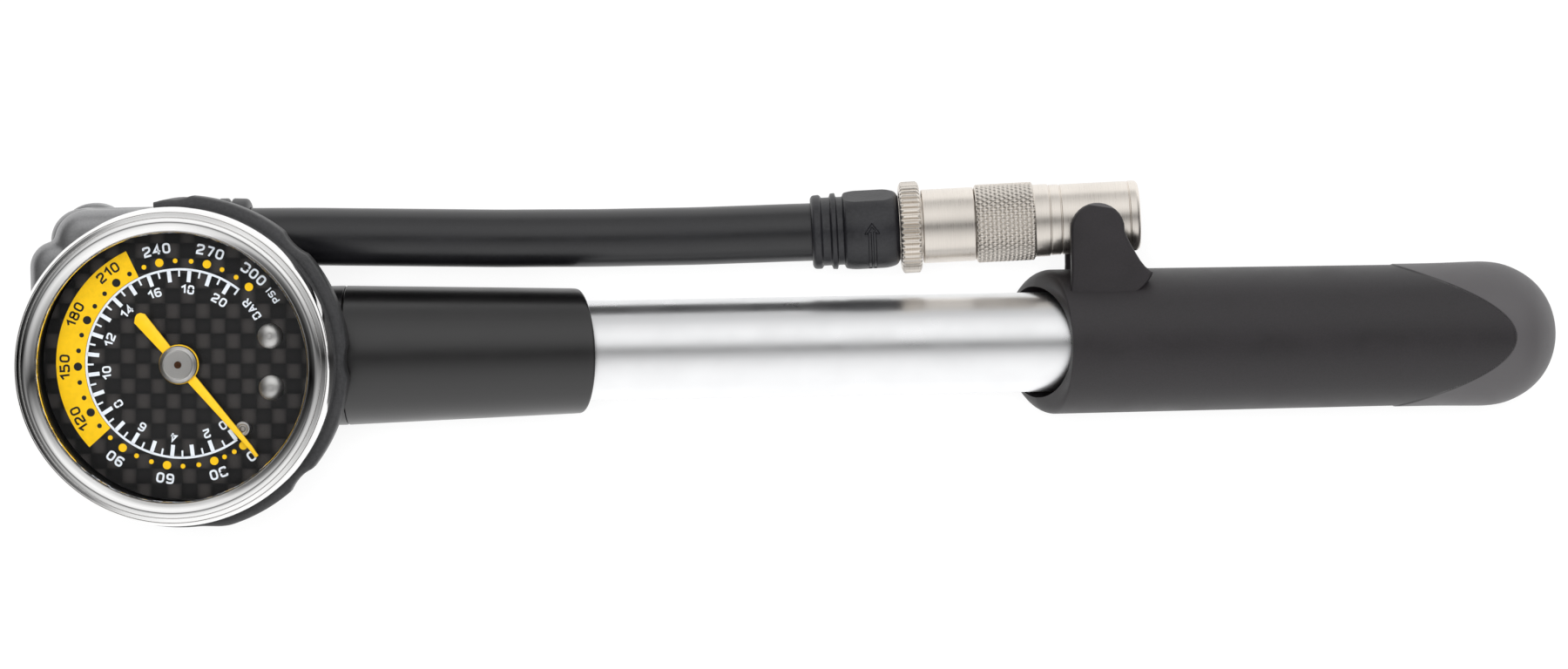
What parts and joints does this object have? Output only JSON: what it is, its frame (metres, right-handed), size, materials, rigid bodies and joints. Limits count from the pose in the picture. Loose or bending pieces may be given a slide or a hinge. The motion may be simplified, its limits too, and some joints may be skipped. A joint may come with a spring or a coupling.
{
  "type": "shock suspension pump",
  "caption": "Pocket high-pressure air pump for shocks and forks, with a round dial gauge, a slim barrel, a sliding grip and a swivelling hose with a two-stage chuck.",
  "frame": {"origin": "centre of the flat rest pad under the gauge, on the gauge's axis", "axes": "+X along the pump from gauge to handle, +Y to the side the hose is on, +Z out of the dial"},
  "size_m": [0.2225, 0.048, 0.0332],
  "materials": {
    "black_casting": "satin, fine texture",
    "sleeve_black": "satin",
    "anodised_silver": "satin, fine lengthwise lines",
    "grip_plastic": "matt, fine grain",
    "black_plastic": "satin",
    "rubber_black": "matt",
    "guard_rubber": "matt",
    "hose_rubber": "satin",
    "chrome_bezel": "polished",
    "nickel": "turned, satin nickel",
    "steel": "satin",
    "brass": "satin",
    "piston_plastic": "satin",
    "dial_face": "printed, woven pattern",
    "pointer_yellow": "satin",
    "lens_clear": "clear, polished"
  },
  "bodies": {
    "base": {"base_body": "black_casting", "neck_sleeve": "sleeve_black", "barrel": "anodised_silver", "barrel_seal": "rubber_black", "rod_guide": "black_plastic", "rod_wiper": "rubber_black", "rest_pad": "rubber_black", "swivel_pin": "nickel", "swivel_seals": "rubber_black", "check_valve_seat": "brass", "check_valve_spring": "steel", "bleed_spring": "steel", "gauge_case": "black_plastic", "case_screws": "steel", "gauge_guard": "guard_rubber", "bezel_ring": "chrome_bezel", "lens": "lens_clear", "lens_gasket": "rubber_black", "dial_plate": "dial_face", "dial_rivets": "steel", "stop_pin": "steel", "gauge_socket": "brass", "gauge_seal": "rubber_black", "bourdon_tube": "brass", "movement_frame": "brass"},
    "pointer_shaft": {"pointer_arbor": "brass", "hairspring": "steel", "pointer": "pointer_yellow", "pointer_cap": "steel"},
    "sector": {"sector_gear": "brass"},
    "link": {"movement_link": "brass"},
    "check_ball": {"check_valve_ball": "steel"},
    "bleed": {"bleed_button": "black_plastic", "bleed_seal": "rubber_black"},
    "handle": {"handle_grip": "grip_plastic", "hose_clip": "grip_plastic", "rod_anchor": "steel", "anchor_pin": "steel", "pump_rod": "steel", "piston_head": "piston_plastic", "piston_seal": "rubber_black", "piston_bumper": "rubber_black"},
    "hose_arm": {"swivel_head": "black_casting", "hose_tail_boot": "rubber_black", "hose_tail_barb": "brass", "hose": "hose_rubber", "chuck_boot": "rubber_black", "chuck_barb": "brass", "chuck_body": "nickel", "collar_clip": "steel", "spindle_seal": "rubber_black", "depressor_seals": "rubber_black"},
    "lock_ring": {"lock_ring": "nickel"},
    "depressor": {"depressor_pin": "brass"},
    "collar": {"chuck_collar": "nickel", "valve_seal": "rubber_black"}
  },
  "joints": [
    {"name": "handle_slide", "type": "slide", "parent": "base", "child": "handle", "axis": [1, 0, 0], "range_m": [0, 0.145]},
    {"name": "hose_swivel", "type": "hinge", "parent": "base", "child": "hose_arm", "pos_m": [-0.0149, 0.0176, 0.0104], "axis": [0, 0, 1], "range_deg": [0, 180]},
    {"name": "lock_ring_turn", "type": "hinge", "parent": "hose_arm", "child": "lock_ring", "pos_m": [0.10499, 0.0171, 0.0104], "axis": [0.9995, 0.0332, 0], "range_deg": [0, 270]},
    {"name": "depressor_feed", "type": "slide", "parent": "hose_arm", "child": "depressor", "axis": [0.9995, 0.0332, 0], "range_m": [0, 0.0012]},
    {"name": "collar_spin", "type": "hinge", "parent": "hose_arm", "child": "collar", "pos_m": [0.11998, 0.01759, 0.0104], "axis": [0.9995, 0.0332, 0], "continuous": true},
    {"name": "pointer_turn", "type": "hinge", "parent": "base", "child": "pointer_shaft", "pos_m": [0, 0, 0.0243], "axis": [0, 0, 1], "range_deg": [-258, 0], "stiffness_Nm_per_rad": 0.000002, "springref_deg": 1.15},
    {"name": "sector_swing", "type": "hinge", "parent": "base", "child": "sector", "pos_m": [-0.0126, 0, 0.0202], "axis": [0, 0, 1], "range_deg": [0, 43.01]},
    {"name": "link_swing", "type": "hinge", "parent": "sector", "child": "link", "pos_m": [-0.0126, -0.0042, 0.0209], "axis": [0, 0, 1], "range_deg": [-43.01, 0]},
    {"name": "bleed_press", "type": "slide", "parent": "base", "child": "bleed", "axis": [1, 0, 0], "range_m": [0, 0.0012], "stiffness_N_per_m": 400, "springref_m": -0.0005, "deforming": ["bleed_spring"]},
    {"name": "check_ball_lift", "type": "slide", "parent": "base", "child": "check_ball", "axis": [0, 0, 1], "range_m": [0, 0.001], "stiffness_N_per_m": 20, "springref_m": -0.0002, "deforming": ["check_valve_spring"]}
  ],
  "couplings": [
    {"joint": "lock_ring_turn", "follows": "depressor_feed", "rad_per_m": 3926.9},
    {"joint": "sector_swing", "follows": "pointer_turn", "ratio": -0.16667},
    {"joint": "link_swing", "follows": "pointer_turn", "ratio": 0.16667}
  ]
}
